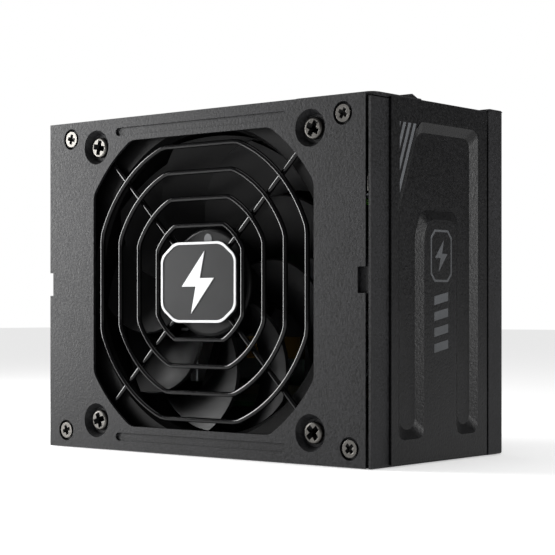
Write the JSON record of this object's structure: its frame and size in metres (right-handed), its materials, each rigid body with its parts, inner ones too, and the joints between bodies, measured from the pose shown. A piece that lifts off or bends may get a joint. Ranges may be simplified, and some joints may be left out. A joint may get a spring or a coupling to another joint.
{
  "type": "computer power supply unit",
  "caption": "Boxed computer power supply: fan behind a wire grille, stamped side panels, vented mains end with inlet and rocker switch, modular output sockets.",
  "frame": {"origin": "middle of the bottom face, which is the connector end", "axes": "+X to the right seen from the fan side, +Y from the fan cover to the back cover, +Z from the connector end to the mains end"},
  "size_m": [0.125, 0.0636, 0.1047],
  "materials": {
    "coated_steel": "fine textured powder coat",
    "nickel_plate": "nickel plated",
    "coated_wire": "glossy black dip coat",
    "badge_plastic": "moulded, painted rim",
    "fan_plastic": "moulded, semi gloss",
    "inlet_plastic": "moulded",
    "rocker_plastic": "moulded, polished",
    "socket_plastic": "moulded",
    "ground_steel": "ground",
    "ferrite": "sintered",
    "sintered_bronze": "oiled",
    "steel_laminations": "stacked",
    "board_laminate": "solder resist",
    "yellow_tape": "wound tape",
    "capacitor_sleeve": "shrunk film",
    "enamelled_copper": "enamelled winding",
    "aluminium": "extruded",
    "epoxy": "moulded",
    "film_box": "potted box",
    "insulating_film": "translucent film",
    "black_lead": "wire insulation",
    "earth_lead": "wire insulation"
  },
  "bodies": {
    "root": {"fan_cover": "coated_steel", "chassis_frame": "coated_steel", "mains_end_plate": "coated_steel", "back_cover": "coated_steel", "side_panel_right": "coated_steel", "side_panel_left": "coated_steel", "cover_screw_top_left": "nickel_plate", "cover_screw_top_right": "nickel_plate", "cover_screw_bottom_left": "nickel_plate", "cover_screw_bottom_right": "nickel_plate", "back_screw_top_left": "nickel_plate", "back_screw_top_right": "nickel_plate", "back_screw_bottom_left": "nickel_plate", "back_screw_bottom_right": "nickel_plate", "wire_grille": "coated_wire", "grille_badge": "badge_plastic", "fan_frame": "fan_plastic", "fan_bearing": "sintered_bronze", "fan_stator": "steel_laminations", "fan_screw_top_left": "nickel_plate", "fan_screw_top_right": "nickel_plate", "fan_screw_bottom_left": "nickel_plate", "fan_screw_bottom_right": "nickel_plate", "mains_inlet": "inlet_plastic", "inlet_pin_line": "nickel_plate", "inlet_pin_neutral": "nickel_plate", "inlet_pin_earth": "nickel_plate", "switch_housing": "inlet_plastic", "board_socket_wide": "socket_plastic", "board_socket_narrow": "socket_plastic", "drive_socket_1": "socket_plastic", "drive_socket_2": "socket_plastic", "processor_socket_1": "socket_plastic", "processor_socket_2": "socket_plastic", "processor_socket_3": "socket_plastic", "modular_board": "board_laminate", "main_board": "board_laminate", "insulating_sheet": "insulating_film", "transformer_core": "ferrite", "transformer_winding": "yellow_tape", "bulk_capacitor": "capacitor_sleeve", "choke_core": "yellow_tape", "filter_choke": "enamelled_copper", "filter_capacitor": "film_box", "bridge_rectifier": "epoxy", "standby_transformer": "yellow_tape", "primary_heat_sink": "aluminium", "secondary_heat_sink": "aluminium", "output_capacitor_1": "capacitor_sleeve", "output_capacitor_2": "capacitor_sleeve", "output_capacitor_3": "capacitor_sleeve", "output_capacitor_4": "capacitor_sleeve", "line_lead": "black_lead", "neutral_lead": "black_lead", "earth_lead": "earth_lead", "fan_lead": "black_lead"},
    "fan_spinner": {"fan_rotor": "fan_plastic", "fan_shaft": "ground_steel", "fan_magnet_ring": "ferrite"},
    "rocker": {"switch_rocker": "rocker_plastic"}
  },
  "joints": [
    {"name": "fan_spin", "type": "hinge", "parent": "root", "child": "fan_spinner", "pos_m": [0, -0.0205, 0.0498], "axis": [0, 1, 0], "continuous": true},
    {"name": "rocker_tilt", "type": "hinge", "parent": "root", "child": "rocker", "pos_m": [0.0396, 0.01685, 0.0998], "axis": [1, 0, 0], "range_deg": [0, 24]}
  ]
}
